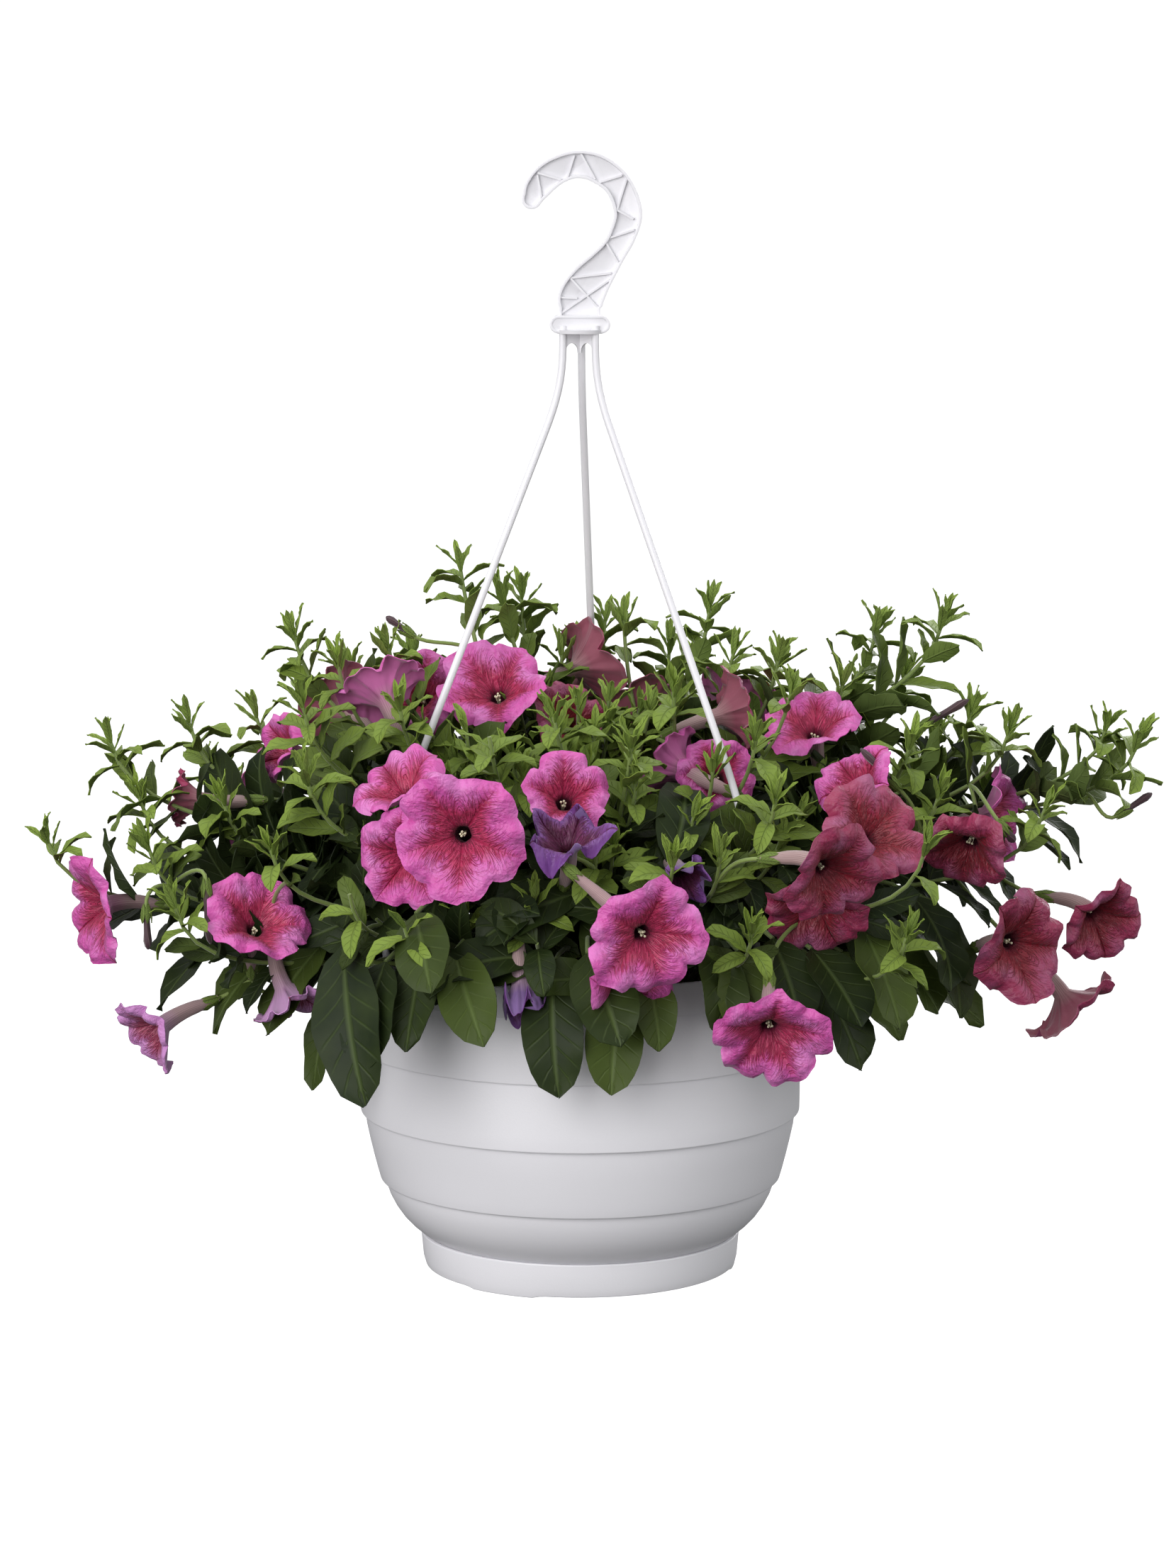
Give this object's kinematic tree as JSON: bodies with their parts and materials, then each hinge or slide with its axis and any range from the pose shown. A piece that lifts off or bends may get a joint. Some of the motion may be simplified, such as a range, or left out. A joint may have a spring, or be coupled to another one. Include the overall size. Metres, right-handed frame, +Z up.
{
  "type": "petunia hanging basket",
  "caption": "White moulded hanging pot with clip-on saucer and three-armed hook hanger, full of potting soil and a trailing petunia in flower.",
  "frame": {"origin": "the highest point inside the hook, on the pot's vertical axis, where a bracket or wire carries it", "axes": "+Z up, +Y to the back, +X to the right as seen from the front, where the hook opens to the left"},
  "size_m": [0.5954, 0.451, 0.6043],
  "materials": {
    "white_plastic": "satin",
    "potting_soil": "matte",
    "foliage": "satin",
    "petal_pink": "matte",
    "petal_red_pink": "matte",
    "petal_lilac": "matte",
    "petal_wilted": "matte"
  },
  "bodies": {
    "root": {"flower_back_left_top": "petal_red_pink", "flower_back_view_left": "petal_pink", "flower_behind_left_arm": "petal_pink", "flower_behind_right_arm": "petal_red_pink", "flower_cluster_front": "petal_red_pink", "flower_cluster_lower": "petal_red_pink", "flower_cluster_upper": "petal_red_pink", "flower_far_left": "petal_pink", "flower_far_right": "petal_red_pink", "flower_front_left": "petal_pink", "flower_front_left_behind": "petal_pink", "flower_front_low": "petal_pink", "flower_front_middle": "petal_pink", "flower_front_under": "petal_pink", "flower_left_open": "petal_pink", "flower_left_shoulder": "petal_pink", "flower_left_side": "petal_red_pink", "flower_left_top": "petal_pink", "flower_low_left": "petal_lilac", "flower_low_right": "petal_red_pink", "flower_middle": "petal_pink", "flower_rear_left": "petal_pink", "flower_rear_low": "petal_red_pink", "flower_rear_low_left": "petal_pink", "flower_rear_right": "petal_red_pink", "flower_rear_right_low": "petal_pink", "flower_rear_shoulder": "petal_pink", "flower_rear_top": "petal_pink", "flower_right_back_view": "petal_pink", "flower_right_dark": "petal_red_pink", "flower_right_folded": "petal_pink", "flower_right_front": "petal_red_pink", "flower_right_top": "petal_pink", "flower_right_turned": "petal_pink", "flower_top_behind": "petal_red_pink", "flower_top_left": "petal_pink", "flower_top_middle": "petal_red_pink", "flower_under_left": "petal_lilac", "flower_wilted_low": "petal_wilted", "flower_wilted_middle": "petal_wilted", "hanger": "white_plastic", "pot": "white_plastic", "saucer": "white_plastic", "shoot_far_left": "foliage", "shoot_far_right": "foliage", "shoot_front": "foliage", "shoot_front_left": "foliage", "shoot_front_right": "foliage", "shoot_left_front": "foliage", "shoot_left_high": "foliage", "shoot_middle_right": "foliage", "shoot_rear_left": "foliage", "shoot_rear_right": "foliage", "shoot_right": "foliage", "shoot_right_high": "foliage", "shoot_top_left": "foliage", "shoot_top_middle": "foliage", "shoot_top_right": "foliage", "soil": "potting_soil"}
  },
  "joints": []
}
